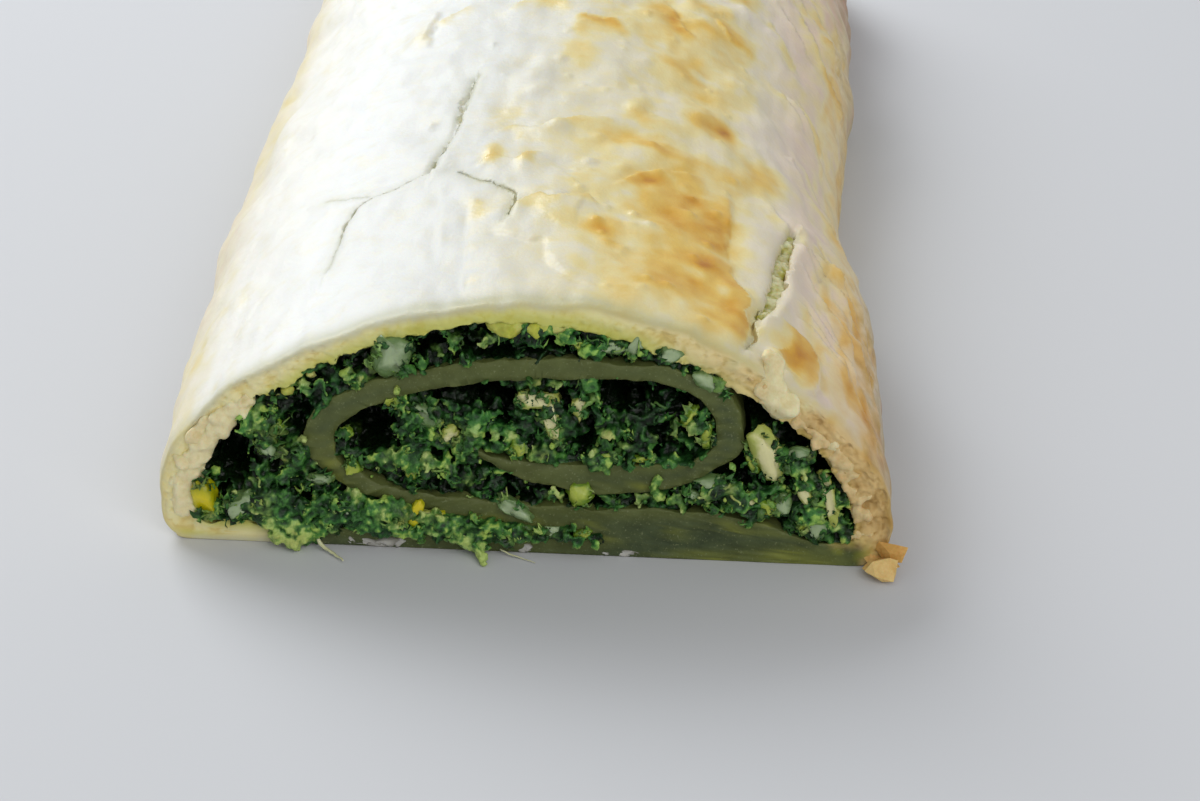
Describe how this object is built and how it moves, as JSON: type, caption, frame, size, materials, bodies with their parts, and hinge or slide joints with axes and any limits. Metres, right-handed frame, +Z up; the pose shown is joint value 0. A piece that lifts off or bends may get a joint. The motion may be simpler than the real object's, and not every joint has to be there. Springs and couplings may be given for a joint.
{
  "type": "spinach strudel",
  "caption": "Long low baked strudel with a cut end that shows a rolled sheet of dough round chopped spinach filling.",
  "frame": {"origin": "middle of the flat base, on the surface that the strudel rests on", "axes": "+Z up, +Y along the strudel from the cut end to the closed end, +X to the right as the cut end is seen"},
  "size_m": [0.1055, 0.2229, 0.0386],
  "materials": {
    "dough": "satin baked crust, pale cream with golden-brown patches, olive and damp inside",
    "filling": "moist chopped leaf, dark green with pale bits"
  },
  "bodies": {
    "root": {"dough": "dough", "filling": "filling"}
  },
  "joints": []
}
